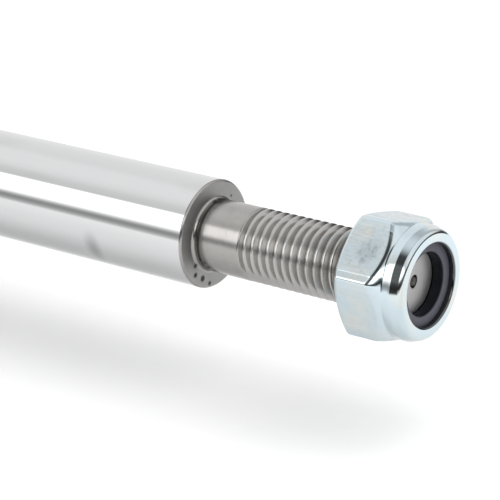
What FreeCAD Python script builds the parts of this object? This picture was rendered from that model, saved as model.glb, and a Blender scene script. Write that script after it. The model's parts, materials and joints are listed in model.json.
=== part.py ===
import FreeCAD, Part
import math
import os

import Sketcher

# A gas-pressurised monotube shock absorber, lying along X and drawn fully extended.
# The origin is the centre of the lower eye's bore. +X runs along the rod to the threaded stud,
# Y is the axis of the bolt that goes through the eye, and Z is up.
# From the eye outwards: base cap, gas space, floating piston, oil space, working piston with its two
# shim stacks, rod, rod guide with its seals, top cap, bare rod, shoulder, stud and lock nut.

DIMENSIONS = {
    # Fits
    "static_clearance": 0.03,
    "running_clearance": 0.05,
    "end_gap": 0.3,
    # Lower eye
    "sleeve_bore": 12.2,
    "sleeve_wall": 2.9,
    "sleeve_projection": 2.0,
    "sleeve_chamfer": 0.6,
    "eye_rubber_wall": 7.0,
    "eye_rubber_lip_height": 2.0,
    "eye_rubber_lip_width": 4.0,
    "eye_ring_wall": 4.0,
    "eye_ring_width": 28.0,
    "eye_ring_chamfer": 1.0,
    # Base cap and gas port
    "cap_neck_diameter": 26.0,
    "cap_neck_length": 4.0,
    "cap_rim_chamfer": 1.0,
    "cap_barrel_length": 14.0,
    "cap_spigot_length": 12.0,
    "gas_port_inset": 8.0,
    "gas_passage_diameter": 3.0,
    "gas_screw_diameter": 8.0,
    "gas_screw_length": 8.0,
    "gas_screw_head_overhang": 0.9,
    "gas_screw_head_height": 3.0,
    "gas_screw_socket_width": 4.0,
    "gas_screw_socket_depth": 2.0,
    "gas_seal_thickness": 1.0,
    # Cylinder tube and stroke
    "tube_bore": 46.0,
    "tube_wall": 2.5,
    "tube_end_chamfer": 0.8,
    "weld_groove_depth": 1.0,
    "stroke": 150.0,
    "gas_length": 55.0,
    "oil_margin": 8.0,
    # Floating piston
    "floating_piston_length": 22.0,
    "floating_piston_wall": 6.0,
    "floating_bowl_depth": 14.0,
    "floating_band_width": 6.0,
    "floating_groove_spacing": 10.0,
    # Working piston
    "piston_length": 16.0,
    "piston_side_gap": 0.4,
    "piston_land": 3.0,
    "piston_rim_width": 2.6,
    "piston_seat_width": 1.4,
    "piston_face_recess": 0.8,
    "band_thickness": 1.5,
    "band_ring_section": 1.8,
    "port_count": 6,
    "port_diameter": 4.0,
    "port_seat_gap": 0.6,
    # Shim stacks and what clamps them
    "shim_thickness": 0.3,
    "shim_count": 5,
    "shim_overlap": 0.5,
    "clamp_diameter": 18.0,
    "stop_plate_thickness": 2.0,
    "bumper_length": 13.4,
    "bumper_wall": 5.0,
    "top_out_plate_thickness": 3.0,
    "top_out_plate_rim": 2.0,
    # Piston rod and stud
    "rod_diameter": 18.0,
    "stem_diameter": 12.0,
    "stem_projection": 2.0,
    "stem_chamfer": 1.0,
    "rod_reserve": 18.0,
    "shoulder_chamfer": 0.7,
    "neck_fillet_radius": 0.7,
    "neck_groove_depth": 0.2,
    "neck_groove_width": 0.3,
    "stud_diameter": 11.9,
    "stud_length": 38.3,
    "stud_chamfer": 1.0,
    "centre_hole_diameter": 2.1,
    "centre_hole_depth": 2.4,
    # Rod guide and its seals
    "guide_length": 26.0,
    "guide_bush_length": 12.0,
    "guide_bush_wall": 1.5,
    "guide_rod_gap": 0.3,
    "seal_length": 8.0,
    "seal_section": 6.0,
    "seal_lip_wall": 1.8,
    "seal_channel_width": 2.4,
    "seal_channel_depth": 3.5,
    "ring_section": 2.6,
    "ring_groove_width": 3.4,
    "washer_thickness": 2.0,
    "wire_diameter": 2.2,
    "wire_gap_angle": 28.0,
    # Top cap and wiper
    "top_cap_skirt_length": 4.0,
    "top_cap_flange_thickness": 5.0,
    "top_cap_chamfer": 1.2,
    "top_cap_rod_gap": 1.5,
    "wiper_section": 5.0,
    "wiper_body_length": 5.0,
    "wiper_lip_length": 4.0,
    # Hexagon nuts
    "piston_nut_width": 19.0,
    "piston_nut_height": 8.0,
    "nut_chamfer": 1.2,
    "nylon_grip": 0.95,
    "nylon_wall": 2.85,
    "nylon_thickness": 2.0,
    "nylon_end_gap": 0.15,
    "lock_nut_turn": 49.1,
    "lock_nut_thread_length": 8.3,
    "lock_nut_cone_length": 1.5,
    "lock_nut_flat_height": 0.2,
    "lock_nut_corner_radius": 1.0,
    "lock_nut_collar_wall": 1.27,
    "lock_nut_rim_radius": 1.8,
    "lock_nut_rim_rise": 1.0,
    "lock_nut_lip_edge": 0.2,
    "lock_nut_mouth_gap": 0.6,
}

os.makedirs("parts", exist_ok=True)
doc = FreeCAD.newDocument("shock_absorber")
sheet = doc.addObject("Spreadsheet::Sheet", "Sizes")
for row, (alias, number) in enumerate(DIMENSIONS.items(), start=1):
    sheet.set(f"A{row}", alias)
    sheet.set(f"B{row}", str(number))
    sheet.setAlias(f"B{row}", alias)
doc.recompute()


class Size:
    """A length written as a formula over the sheet's cells."""

    def __init__(self, text):
        self.text = text

    @property
    def value(self):
        return float(sheet.evalExpression(self.text))

    def joined(self, sign, other, swapped=False):
        pair = [self.text, getattr(other, "text", repr(other))]
        if swapped:
            pair.reverse()
        return Size(f"({pair[0]} {sign} {pair[1]})")

    def __add__(self, other):
        return self.joined("+", other)

    def __radd__(self, other):
        return self.joined("+", other, swapped=True)

    def __sub__(self, other):
        return self.joined("-", other)

    def __rsub__(self, other):
        return self.joined("-", other, swapped=True)

    def __mul__(self, other):
        return self.joined("*", other)

    def __rmul__(self, other):
        return self.joined("*", other, swapped=True)

    def __truediv__(self, other):
        return self.joined("/", other)

    def __rtruediv__(self, other):
        return self.joined("/", other, swapped=True)

    def __neg__(self):
        return Size(f"(0 - {self.text})")


class Sizes:
    """The sheet's aliases as attributes, so that size.tube_bore reads that cell."""

    def __getattr__(self, alias):
        if alias not in DIMENSIONS:
            raise AttributeError(alias)
        return Size(f"Sizes.{alias}")


size = Sizes()
parts = {}


def bind(item, prop, length):
    """Tie a property to a formula, or set it when the length is a plain number."""
    item.setExpression(prop, getattr(length, "text", repr(length)))


def sketch_on(body, role, offset=0.0):
    """A sketch on one of the body's own origin planes, moved along the plane's normal."""
    plane = next(item for item in body.Origin.OriginFeatures if item.Role == role)
    sketch = body.newObject("Sketcher::SketchObject", f"{body.Name}_sketch")
    sketch.AttachmentSupport = (plane, "")
    sketch.MapMode = "FlatFace"
    bind(sketch, "AttachmentOffset.Base.z", offset)
    return sketch


def pin_point(sketch, geometry, end, along, across):
    """Fix one point of a sketch by its two distances from the sketch's origin."""
    for kind, length in (("DistanceX", along), ("DistanceY", across)):
        value = getattr(length, "value", length)
        index = sketch.addConstraint(Sketcher.Constraint(kind, -1, 1, geometry, end, value))
        if isinstance(length, Size):
            bind(sketch, f"Constraints[{index}]", length)


def arc_between(start, finish, radius):
    """The short arc from start to finish, whose centre is on the left for a positive radius."""
    chord = finish - start
    middle = (start + finish) * 0.5
    height = math.sqrt(max(radius**2 - (chord.Length / 2) ** 2, 0.0))
    left = FreeCAD.Vector(-chord.y, chord.x, 0).normalize()
    centre = middle + left * math.copysign(height, radius)
    first, last = (start, finish) if radius > 0 else (finish, start)
    angles = [math.atan2(point.y - centre.y, point.x - centre.x) for point in (first, last)]
    circle = Part.Circle(centre, FreeCAD.Vector(0, 0, 1), abs(radius))
    return Part.ArcOfCircle(circle, angles[0], angles[1])


def draw_outline(sketch, corners):
    """A closed loop through the corners.

    A corner is (along, across), and the edge that leaves it is straight. A third value makes that
    edge an arc of this radius, with its centre on the left, or on the right where it is negative.
    """
    places = [FreeCAD.Vector(*(getattr(length, "value", length) for length in c[:2]), 0) for c in corners]
    heads = []
    tails = []
    for index, corner in enumerate(corners):
        start = places[index]
        finish = places[(index + 1) % len(corners)]
        if len(corner) == 2:
            geometry = sketch.addGeometry(Part.LineSegment(start, finish))
            heads.append((geometry, 1))
            tails.append((geometry, 2))
            continue
        radius = corner[2].value
        geometry = sketch.addGeometry(arc_between(start, finish, radius))
        heads.append((geometry, 1 if radius > 0 else 2))
        tails.append((geometry, 2 if radius > 0 else 1))
    for index, head in enumerate(heads):
        sketch.addConstraint(Sketcher.Constraint("Coincident", *tails[index - 1], *head))
        pin_point(sketch, *head, *corners[index][:2])
    for (geometry, _), corner in zip(heads, corners):
        if len(corner) == 3:
            radius = corner[2] if corner[2].value > 0 else -corner[2]
            index = sketch.addConstraint(Sketcher.Constraint("Radius", geometry, radius.value))
            bind(sketch, f"Constraints[{index}]", radius)


def draw_circle(sketch, along, across, diameter):
    centre = FreeCAD.Vector(getattr(along, "value", along), getattr(across, "value", across), 0)
    circle = Part.Circle(centre, FreeCAD.Vector(0, 0, 1), diameter.value / 2)
    geometry = sketch.addGeometry(circle)
    pin_point(sketch, geometry, 3, along, across)
    index = sketch.addConstraint(Sketcher.Constraint("Diameter", geometry, diameter.value))
    bind(sketch, f"Constraints[{index}]", diameter)


def turned_to(angle):
    """How far along and across a unit step in this direction goes, in degrees."""
    return round(math.cos(math.radians(angle)), 9), round(math.sin(math.radians(angle)), 9)


def draw_hexagon(sketch, width, rounding=None):
    """A hexagon of this width across its flats, with sharp corners or corners of this radius."""
    far = width / math.sqrt(3)
    corners = []
    for angle in range(0, 360, 60):
        along, across = turned_to(angle)
        if rounding is None:
            corners.append((far * along, far * across))
            continue
        for side, arc in ((-120, [rounding]), (120, [])):
            back, aside = turned_to(angle + side)
            ease = rounding / math.sqrt(3)
            corners.append((far * along + ease * back, far * across + ease * aside, *arc))
    draw_outline(sketch, corners)


def new_body(label, along=0.0):
    """An empty body whose own X origin lies at this place on the shock absorber's axis."""
    body = doc.addObject("PartDesign::Body", label)
    body.Label = label
    bind(body, "Placement.Base.x", along)
    parts[label] = body
    return body


def spin(body, kind, role, corners):
    """Turn an outline of (along, radius) corners about the plane's own horizontal axis."""
    sketch = sketch_on(body, role)
    draw_outline(sketch, corners)
    feature = body.newObject(kind, f"{body.Name}_turned")
    feature.Profile = sketch
    feature.ReferenceAxis = (sketch, ["H_Axis"])
    feature.Angle = 360.0
    return feature


def turned(label, along, corners, role="XZ_Plane"):
    """A lathe-turned piece: its outline runs along X, or along Y on the YZ plane."""
    body = new_body(label, along)
    spin(body, "PartDesign::Revolution", role, corners)
    return body


def disc(label, along, thickness, outer, inner):
    """A flat washer or plate between two radii."""
    return turned(label, along, [(0.0, inner), (0.0, outer), (thickness, outer), (thickness, inner)])


def cut_with(body, sketch, depth=None):
    """Pocket a sketch away, against the sketch's normal, or both ways through everything."""
    pocket = body.newObject("PartDesign::Pocket", f"{body.Name}_pocket")
    pocket.Profile = sketch
    if depth is None:
        pocket.Type = "ThroughAll"
        pocket.Midplane = True
    else:
        bind(pocket, "Length", depth)
    return pocket


def round_ring(label, along, centre_radius, section, sweep=360.0):
    """A ring of round section about the X axis, whole or open."""
    ring = doc.addObject("Part::Torus", label)
    ring.Label = label
    ring.Placement = FreeCAD.Placement(FreeCAD.Vector(), FreeCAD.Rotation(FreeCAD.Vector(0, 1, 0), 90))
    bind(ring, "Radius1", centre_radius)
    bind(ring, "Radius2", section / 2)
    bind(ring, "Angle3", sweep)
    bind(ring, "Placement.Base.x", along)
    parts[label] = ring
    return ring


# Places along the axis, each from its neighbour's size.
sleeve_radius = size.sleeve_bore / 2 + size.sleeve_wall
ring_bore = sleeve_radius + size.eye_rubber_wall
ring_radius = ring_bore + size.eye_ring_wall
bore_radius = size.tube_bore / 2
tube_radius = bore_radius + size.tube_wall
rod_radius = size.rod_diameter / 2
stem_radius = size.stem_diameter / 2
stud_radius = size.stud_diameter / 2
stem_hole = stem_radius + size.static_clearance
rod_hole = rod_radius + size.running_clearance
clamp_radius = size.clamp_diameter / 2
bumper_radius = rod_radius + size.bumper_wall
screw_head_radius = size.gas_screw_diameter / 2 + size.gas_screw_head_overhang
tube_fit = bore_radius - size.static_clearance

flare_start = ring_radius + size.cap_neck_length
flare_radius = tube_radius - size.cap_rim_chamfer - size.cap_neck_diameter / 2
tube_start = flare_start + flare_radius + size.cap_rim_chamfer + size.cap_barrel_length
spigot_end = tube_start + size.cap_spigot_length
floating_start = spigot_end + size.gas_length
floating_end = floating_start + size.floating_piston_length

# The rod pushes its own volume of oil aside, so the floating piston moves by the ratio of the areas.
floating_travel = size.stroke * size.rod_diameter * size.rod_diameter / (size.tube_bore * size.tube_bore)
stem_end = floating_end + size.stroke - floating_travel + size.oil_margin
piston_nut_start = stem_end + size.stem_projection
rebound_plate_start = piston_nut_start + size.piston_nut_height
stack_height = size.shim_thickness * size.shim_count
rebound_shims_start = rebound_plate_start + size.stop_plate_thickness
piston_start = rebound_shims_start + stack_height
compression_shims_start = piston_start + size.piston_length
compression_plate_start = compression_shims_start + stack_height
top_out_plate_start = compression_plate_start + size.stop_plate_thickness
rod_start = top_out_plate_start + size.top_out_plate_thickness
bumper_start = rod_start + size.end_gap

guide_start = bumper_start + size.bumper_length + size.end_gap
guide_end = guide_start + size.guide_length
seal_start = guide_end - size.seal_length
wire_start = guide_end + size.washer_thickness
wire_end = wire_start + size.wire_diameter
tube_end = wire_end + size.end_gap + size.top_cap_skirt_length
top_cap_end = tube_end + size.top_cap_flange_thickness
shoulder = top_cap_end + size.wiper_lip_length + size.stroke + size.rod_reserve


def lower_eye():
    """Forged ring, bonded rubber and steel sleeve, all turned about the bolt's axis."""
    half = size.eye_ring_width / 2
    edge = size.eye_ring_chamfer
    turned("lower_eye", 0.0, [
        (-half, ring_bore), (-half, ring_radius - edge), (-half + edge, ring_radius),
        (half - edge, ring_radius), (half, ring_radius - edge), (half, ring_bore),
    ], "YZ_Plane")

    inner = sleeve_radius + size.running_clearance
    lip = ring_bore + size.eye_rubber_lip_height
    lip_top = half + size.eye_rubber_lip_width / 2
    reach = half + size.eye_rubber_lip_width
    turned("eye_rubber", 0.0, [
        (-reach, inner), (-reach, ring_bore), (-lip_top, lip), (-half, lip), (-half, ring_bore),
        (half, ring_bore), (half, lip), (lip_top, lip), (reach, ring_bore), (reach, inner),
    ], "YZ_Plane")

    end = reach + size.sleeve_projection
    edge = size.sleeve_chamfer
    bolt = size.sleeve_bore / 2
    turned("bush_sleeve", 0.0, [
        (-end, bolt + edge), (-end, sleeve_radius - edge), (-end + edge, sleeve_radius),
        (end - edge, sleeve_radius), (end, sleeve_radius - edge), (end, bolt + edge),
        (end - edge, bolt), (-end + edge, bolt),
    ], "YZ_Plane")


def base_cap():
    """Flared cap, saddled on the eye ring, with the gas port in its barrel."""
    neck = size.cap_neck_diameter / 2
    rim = size.cap_rim_chamfer
    groove = size.weld_groove_depth
    cap = turned("base_cap", 0.0, [
        (0.0, 0.0), (0.0, neck), (flare_start, neck, flare_radius),
        (flare_start + flare_radius, tube_radius - rim), (flare_start + flare_radius + rim, tube_radius),
        (tube_start - groove, tube_radius), (tube_start, tube_radius - groove), (tube_start, tube_fit),
        (spigot_end - rim, tube_fit), (spigot_end, tube_fit - rim), (spigot_end, 0.0),
    ])
    reach = neck + rim
    spin(cap, "PartDesign::Groove", "YZ_Plane", [
        (-reach, 0.0), (-reach, ring_radius), (reach, ring_radius), (reach, 0.0),
    ])

    port = tube_start - size.gas_port_inset
    seat_depth = size.gas_screw_head_height + size.gas_seal_thickness + size.end_gap
    screw_hole = size.gas_screw_diameter + 2 * size.static_clearance
    for diameter, depth in (
        (2 * (screw_head_radius + size.end_gap), seat_depth),
        (screw_hole, seat_depth + size.gas_screw_length + size.end_gap),
        (size.gas_passage_diameter, tube_radius + size.gas_passage_diameter / 2),
    ):
        sketch = sketch_on(cap, "XY_Plane", tube_radius)
        draw_circle(sketch, port, 0.0, diameter)
        cut_with(cap, sketch, depth)
    sketch = sketch_on(cap, "YZ_Plane", spigot_end)
    draw_circle(sketch, 0.0, 0.0, size.gas_passage_diameter)
    cut_with(cap, sketch, spigot_end - port)
    return port, tube_radius - seat_depth


def gas_fill_screw(port, seat):
    """Socket-head port screw on its sealing ring, pointing up out of the base cap."""
    shank = size.gas_screw_diameter / 2
    head = screw_head_radius
    top = size.gas_seal_thickness + size.gas_screw_head_height
    edge = size.sleeve_chamfer
    tip = -size.gas_screw_length + size.gas_seal_thickness
    screw = turned("gas_fill_screw", port, [
        (tip, 0.0), (tip, shank - edge), (tip + edge, shank), (size.gas_seal_thickness, shank),
        (size.gas_seal_thickness, head), (top - edge, head), (top, head - edge), (top, 0.0),
    ])
    sketch = sketch_on(screw, "YZ_Plane", top)
    draw_hexagon(sketch, size.gas_screw_socket_width)
    cut_with(screw, sketch, size.gas_screw_socket_depth)
    ring = disc("gas_fill_seal", port, size.gas_seal_thickness, head, shank + size.static_clearance)
    for body in (screw, ring):
        body.Placement.Rotation = FreeCAD.Rotation(FreeCAD.Vector(0, 1, 0), -90)
        bind(body, "Placement.Base.z", seat)


def cylinder_tube():
    """Honed tube, bevelled for its weld, with a groove near its open end for the retaining wire."""
    edge = size.tube_end_chamfer
    weld = size.weld_groove_depth
    length = tube_end - tube_start
    groove = wire_start - tube_start
    depth = bore_radius + size.wire_diameter / 2 + size.static_clearance
    turned("cylinder_tube", tube_start, [
        (0.0, bore_radius), (0.0, tube_radius - weld), (weld, tube_radius),
        (length - edge, tube_radius), (length, tube_radius - edge), (length, bore_radius),
        (groove + size.wire_diameter, bore_radius), (groove + size.wire_diameter, depth),
        (groove, depth), (groove, bore_radius),
    ])


def floating_piston():
    """Bowl-shaped divider between gas and oil, with a guide band and a sealing ring."""
    length = size.floating_piston_length
    outer = bore_radius - size.piston_side_gap
    bowl = bore_radius - size.floating_piston_wall
    fillet = size.floating_bowl_depth / 4
    band_floor = bore_radius - size.running_clearance - size.band_thickness - size.static_clearance
    ring_floor = bore_radius - size.running_clearance - size.ring_section - size.static_clearance
    band_start = (length - size.floating_groove_spacing - size.floating_band_width) / 2
    band_end = band_start + size.floating_band_width + 2 * size.static_clearance
    ring_middle = band_start + size.floating_band_width / 2 + size.floating_groove_spacing
    ring_start = ring_middle - size.ring_groove_width / 2
    ring_end = ring_middle + size.ring_groove_width / 2
    edge = size.cap_rim_chamfer
    turned("floating_piston", floating_start, [
        (size.floating_bowl_depth, 0.0), (size.floating_bowl_depth, bowl - fillet, fillet),
        (size.floating_bowl_depth - fillet, bowl), (0.0, bowl), (0.0, outer - edge), (edge, outer),
        (band_start, outer), (band_start, band_floor), (band_end, band_floor), (band_end, outer),
        (ring_start, outer), (ring_start, ring_floor), (ring_end, ring_floor), (ring_end, outer),
        (length - edge, outer), (length, outer - edge), (length, 0.0),
    ])
    disc("floating_piston_band", floating_start + band_start + size.static_clearance,
         size.floating_band_width, bore_radius - size.running_clearance,
         band_floor + size.static_clearance)
    round_ring("floating_piston_o_ring", floating_start + ring_middle,
               bore_radius - size.running_clearance - size.ring_section / 2, size.ring_section)


def working_piston():
    """Sintered piston whose slanted ports feed each shim stack from outside the other one's seat."""
    length = size.piston_length
    outer = bore_radius - size.piston_side_gap
    outer_circle = outer - size.piston_rim_width - size.port_diameter / 2
    seat_out = outer_circle - size.port_diameter / 2 - size.port_seat_gap
    seat_in = seat_out - size.piston_seat_width
    inner_circle = (clamp_radius + seat_in) / 2
    recess = size.piston_face_recess
    band_face = bore_radius - size.running_clearance - size.band_thickness
    band_floor = band_face - size.running_clearance
    ring_floor = band_face - size.band_ring_section - 2 * size.running_clearance
    band_start = size.piston_land - size.running_clearance
    ring_start = length / 2 - size.band_ring_section * 2 / 3
    half = [
        (0.0, stem_hole), (0.0, clamp_radius), (recess, clamp_radius), (recess, seat_in), (0.0, seat_in),
        (0.0, seat_out), (recess, seat_out), (recess, outer - recess), (recess * 2, outer),
        (band_start, outer), (band_start, band_floor), (ring_start, band_floor), (ring_start, ring_floor),
    ]
    piston = turned("piston", piston_start, half + [(length - along, across) for along, across in half[::-1]])

    slope = (outer_circle - inner_circle) / length
    ports = []
    for circle, tilt, turn in (
        (inner_circle, slope, 0.0),
        (outer_circle, -slope, 180 / size.port_count),
    ):
        sketch = sketch_on(piston, "YZ_Plane")
        bind(sketch, "AttachmentOffset.Rotation.Angle", turn)
        draw_circle(sketch, 0.0, circle, size.port_diameter)
        port = cut_with(piston, sketch, length)
        port.UseCustomVector = True
        port.Direction = FreeCAD.Vector(1, 0, 0)
        bind(port, "Direction.y", -tilt * sine_of(turn))
        bind(port, "Direction.z", tilt * cosine_of(turn))
        ports.append(port)
    pattern = piston.newObject("PartDesign::PolarPattern", "piston_ports")
    axis = next(item for item in piston.Origin.OriginFeatures if item.Role == "X_Axis")
    pattern.Originals = ports
    pattern.Axis = (axis, [""])
    pattern.Angle = 360.0
    bind(pattern, "Occurrences", size.port_count)
    piston.Tip = pattern

    disc("piston_band", piston_start + size.piston_land, length - 2 * size.piston_land,
         bore_radius - size.running_clearance, band_face)
    round_ring("piston_o_ring", piston_start + length / 2,
               ring_floor + size.running_clearance + size.band_ring_section / 2, size.band_ring_section)
    return seat_out


def sine_of(degrees):
    return Size(f"sin({getattr(degrees, 'text', degrees)} * 1 deg)")


def cosine_of(degrees):
    return Size(f"cos({getattr(degrees, 'text', degrees)} * 1 deg)")


def shim_stacks(seat_radius):
    """Spring-steel shims, the widest on the seat and each next one nearer to the stop plate's size."""
    widest = seat_radius + size.shim_overlap
    for step in range(int(size.shim_count.value)):
        outer = widest - (widest - clamp_radius) * step / size.shim_count
        away = step * size.shim_thickness
        disc(f"compression_shim_{step + 1}", compression_shims_start + away,
             size.shim_thickness, outer, stem_hole)
        disc(f"rebound_shim_{step + 1}", piston_start - size.shim_thickness - away,
             size.shim_thickness, outer, stem_hole)
    for label, start in (
        ("compression_stop_plate", compression_plate_start),
        ("rebound_stop_plate", rebound_plate_start),
    ):
        disc(label, start, size.stop_plate_thickness, clamp_radius, stem_hole)
    disc("top_out_plate", top_out_plate_start, size.top_out_plate_thickness,
         bumper_radius + size.top_out_plate_rim, stem_hole)


def top_out_bumper():
    """Rubber ring on the rod that cushions the end of the rebound stroke."""
    inner = rod_radius + size.static_clearance
    outer = bumper_radius
    length = size.bumper_length
    edge = length / 8
    turned("top_out_bumper", bumper_start, [
        (0.0, inner), (0.0, outer - edge), (edge, outer), (length / 2 - edge, outer),
        (length / 2, outer - edge), (length / 2 + edge, outer), (length - edge, outer),
        (length, outer - edge), (length, inner),
    ])


def piston_rod():
    """Ground rod with a stem for the piston at one end and a shouldered stud at the other.

    The shoulder runs into the stud's neck with a fillet and a relief groove.
    """
    stem = rod_start - stem_end
    face = shoulder - stem_end
    end = face + size.stud_length
    edge = size.shoulder_chamfer
    bevel = size.stem_chamfer
    tip = size.stud_chamfer
    hole = size.centre_hole_diameter / 2
    fillet = size.neck_fillet_radius
    relief = size.neck_groove_depth
    groove = face + fillet
    groove_end = groove + size.neck_groove_width + 2 * relief
    turned("piston_rod", stem_end, [
        (0.0, 0.0), (0.0, stem_radius - bevel), (bevel, stem_radius), (stem, stem_radius),
        (stem, rod_radius - edge), (stem + edge, rod_radius), (face - edge, rod_radius),
        (face, rod_radius - edge), (face, stud_radius + fillet, fillet), (groove, stud_radius),
        (groove + relief, stud_radius - relief), (groove_end - relief, stud_radius - relief),
        (groove_end, stud_radius), (end - tip, stud_radius),
        (end, stud_radius - tip), (end, hole), (end - size.centre_hole_depth + hole, hole),
        (end - size.centre_hole_depth, 0.0),
    ])


def rod_guide():
    """Guide that closes the tube: lined bore, lip seal with its spring, ring, washer and wire."""
    length = size.guide_length
    bush_outer = rod_hole + size.guide_bush_wall
    gap = rod_radius + size.guide_rod_gap
    pocket = rod_radius + size.seal_section
    pocket_start = length - size.seal_length
    ring_floor = bore_radius - size.ring_section - 2 * size.static_clearance
    groove_start = (pocket_start - size.ring_groove_width) / 2
    groove_end = groove_start + size.ring_groove_width
    edge = size.cap_rim_chamfer
    turned("rod_guide", guide_start, [
        (0.0, bush_outer), (0.0, tube_fit - edge), (edge, tube_fit), (groove_start, tube_fit),
        (groove_start, ring_floor), (groove_end, ring_floor), (groove_end, tube_fit),
        (length, tube_fit), (length, pocket), (pocket_start, pocket), (pocket_start, gap),
        (size.guide_bush_length, gap), (size.guide_bush_length, bush_outer),
    ])
    disc("guide_bush", guide_start, size.guide_bush_length, bush_outer - size.static_clearance, rod_hole)
    round_ring("guide_o_ring", guide_start + (groove_start + groove_end) / 2,
               bore_radius - size.static_clearance - size.ring_section / 2, size.ring_section)

    long = size.seal_length
    lip_top = rod_hole + size.seal_lip_wall
    channel_top = lip_top + size.seal_channel_width
    depth = size.seal_channel_depth
    relief = rod_radius + size.guide_rod_gap * 2
    outer = pocket - size.static_clearance
    turned("rod_seal", seal_start, [
        (0.0, relief), (0.0, lip_top), (depth, lip_top), (depth, channel_top), (0.0, channel_top),
        (0.0, outer), (long, outer), (long, relief), (depth, relief), (depth / 2, rod_hole),
    ])
    section = size.seal_channel_width - 2 * size.running_clearance
    round_ring("seal_spring", seal_start + depth / 2, (lip_top + channel_top) / 2, section)

    disc("seal_backing_washer", guide_end, size.washer_thickness, tube_fit, gap)
    round_ring("guide_retaining_ring", wire_start + size.wire_diameter / 2, bore_radius,
               size.wire_diameter - 2 * size.static_clearance, 360 - size.wire_gap_angle)


def top_cap():
    """Cap on the tube's end, with the wiper that keeps dirt off the rod."""
    skirt = tube_fit
    bore = rod_radius + size.top_cap_rod_gap
    pocket = rod_radius + size.wiper_section
    flange = size.top_cap_skirt_length + size.top_cap_flange_thickness
    floor = flange - size.wiper_body_length
    edge = size.top_cap_chamfer
    turned("top_cap", tube_end - size.top_cap_skirt_length, [
        (0.0, bore), (0.0, skirt), (size.top_cap_skirt_length, skirt),
        (size.top_cap_skirt_length, tube_radius), (flange - edge, tube_radius),
        (flange, tube_radius - edge), (flange, pocket), (floor, pocket), (floor, bore),
    ])
    outer = pocket - size.static_clearance
    body = size.wiper_body_length
    tip = body + size.wiper_lip_length
    relief = rod_radius + size.guide_rod_gap * 2
    lip = size.wiper_lip_length / 3
    turned("dust_wiper", top_cap_end - size.wiper_body_length, [
        (0.0, relief), (0.0, outer), (body, outer), (body, outer - lip), (tip, rod_hole + lip / 2),
        (tip, rod_hole), (tip - lip / 2, rod_hole), (body, relief),
    ])


def hexagonal(body, width, rounding=None):
    """Mill the blank of a nut to its six flats."""
    sketch = sketch_on(body, "YZ_Plane")
    draw_hexagon(sketch, width, rounding)
    draw_circle(sketch, 0.0, 0.0, width * 2)
    cut_with(body, sketch)


def piston_nut():
    """Nut on the stem that clamps the plates, shims and piston."""
    corner = size.piston_nut_width / math.sqrt(3)
    bevel = size.nut_chamfer
    height = size.piston_nut_height
    slant = bevel / math.sqrt(3)
    nut = turned("piston_nut", piston_nut_start, [
        (0.0, stem_hole), (0.0, corner - bevel), (slant, corner), (height - slant, corner),
        (height, corner - bevel), (height, stem_hole),
    ])
    hexagonal(nut, size.piston_nut_width)


def lock_nut():
    """Nut on the stud, up to its nylon ring, with a collar rolled over that ring."""
    thread = stud_radius + size.running_clearance
    nylon_in = stud_radius - size.nylon_grip
    nylon_out = nylon_in + size.nylon_wall
    seat = nylon_out + size.static_clearance
    collar = seat + size.lock_nut_collar_wall
    width = 2 * (collar + size.lock_nut_flat_height)
    corner = width / math.sqrt(3)
    bevel = size.nut_chamfer
    rim = size.lock_nut_rim_radius
    mouth = stud_radius + size.lock_nut_mouth_gap
    collar_start = size.lock_nut_thread_length
    nut_start = shoulder + size.stud_length - collar_start
    nylon_start = collar_start + size.nylon_end_gap
    nylon_end = nylon_start + size.nylon_thickness
    height = nylon_end + size.lock_nut_rim_rise
    nut = turned("lock_nut", nut_start, [
        (bevel / 2, thread), (0.0, thread + bevel / 2), (0.0, corner - bevel),
        (bevel / math.sqrt(3), corner), (collar_start - size.lock_nut_cone_length, corner),
        (collar_start, collar + size.static_clearance), (collar_start + rim / 4, collar),
        (height - rim, collar, -rim), (height, collar - rim, -rim),
        (nylon_end + size.lock_nut_lip_edge, mouth),
        (nylon_end, mouth), (nylon_end, seat), (nylon_start, seat), (nylon_start, thread),
    ])
    hexagonal(nut, width, size.lock_nut_corner_radius)
    nut.Placement.Rotation = FreeCAD.Rotation(FreeCAD.Vector(1, 0, 0), 0)
    bind(nut, "Placement.Rotation.Angle", size.lock_nut_turn)
    disc("nylon_insert", nut_start + nylon_start, size.nylon_thickness, nylon_out, nylon_in)


lower_eye()
port_place, screw_seat = base_cap()
gas_fill_screw(port_place, screw_seat)
cylinder_tube()
floating_piston()
shim_seat = working_piston()
shim_stacks(shim_seat)
piston_nut()
top_out_bumper()
piston_rod()
rod_guide()
top_cap()
lock_nut()

doc.recompute()
for item in doc.Objects:
    if {"Invalid", "Error"} & set(item.State):
        raise RuntimeError(f"{item.Label} failed: {item.State}")
for label, body in parts.items():
    if body.Shape.isNull() or not body.Shape.isValid():
        raise RuntimeError(f"{label} has no valid shape")
for label, body in parts.items():
    body.Shape.exportStep(f"parts/{label}.step")
print(f"{len(parts)} parts, shoulder at {shoulder.value:.3f} mm")
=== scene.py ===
# %% [markdown]
# # A gas shock absorber on a studio table
# The photograph shows one end of the real thing: a ground and chromed rod, its shoulder, a threaded
# stud and a lock nut with a nylon ring. The exact solids come from the CAD model and stay where they
# are. This lesson gives them finishes, and builds in mesh what the solids leave plain: the thread,
# the nut's soft edges, the weld beads and the rubber.

# %% Load the frame
import json
import math

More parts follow.
